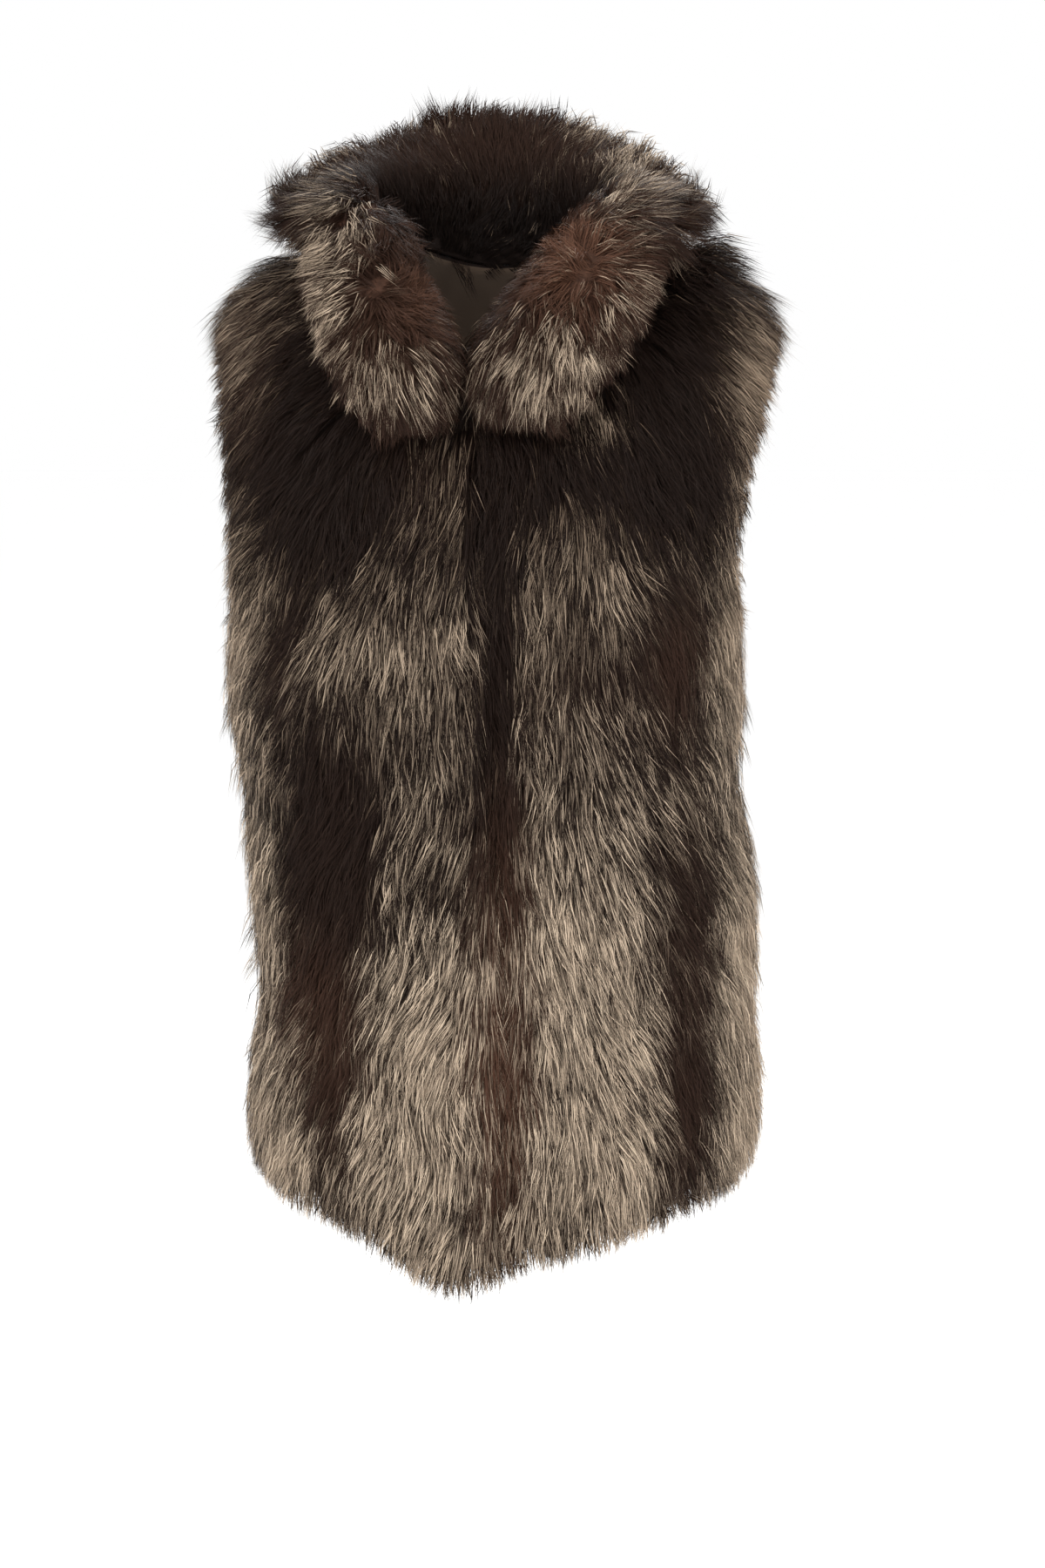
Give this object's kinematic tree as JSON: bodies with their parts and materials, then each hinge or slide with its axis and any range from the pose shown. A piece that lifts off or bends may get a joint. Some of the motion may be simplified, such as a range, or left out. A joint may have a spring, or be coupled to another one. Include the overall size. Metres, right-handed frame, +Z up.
{
  "type": "fur gilet",
  "caption": "Sleeveless long-haired fur gilet in its worn, hollow form, with a large rolled fur collar, edge-to-edge fronts and a hem that dips at the centre front.",
  "frame": {"origin": "the point between the shoulders at the base of the neck, where the wearer carries the gilet", "axes": "+Z up along the body, the fronts face -Y, +X towards the garment's own left"},
  "size_m": [0.4138, 0.3265, 0.83],
  "materials": {
    "body_fur": "long silver-tipped fox-like fur, near-black, taupe and silver bands, soft sheen",
    "collar_fur": "long silver-tipped fur over a rust-brown underfur, soft sheen",
    "pelt_suede": "matt suede side of the pelt"
  },
  "bodies": {
    "root": {"front_right": "body_fur", "front_left": "body_fur", "back": "body_fur", "under_collar": "collar_fur", "top_collar": "collar_fur"}
  },
  "joints": []
}
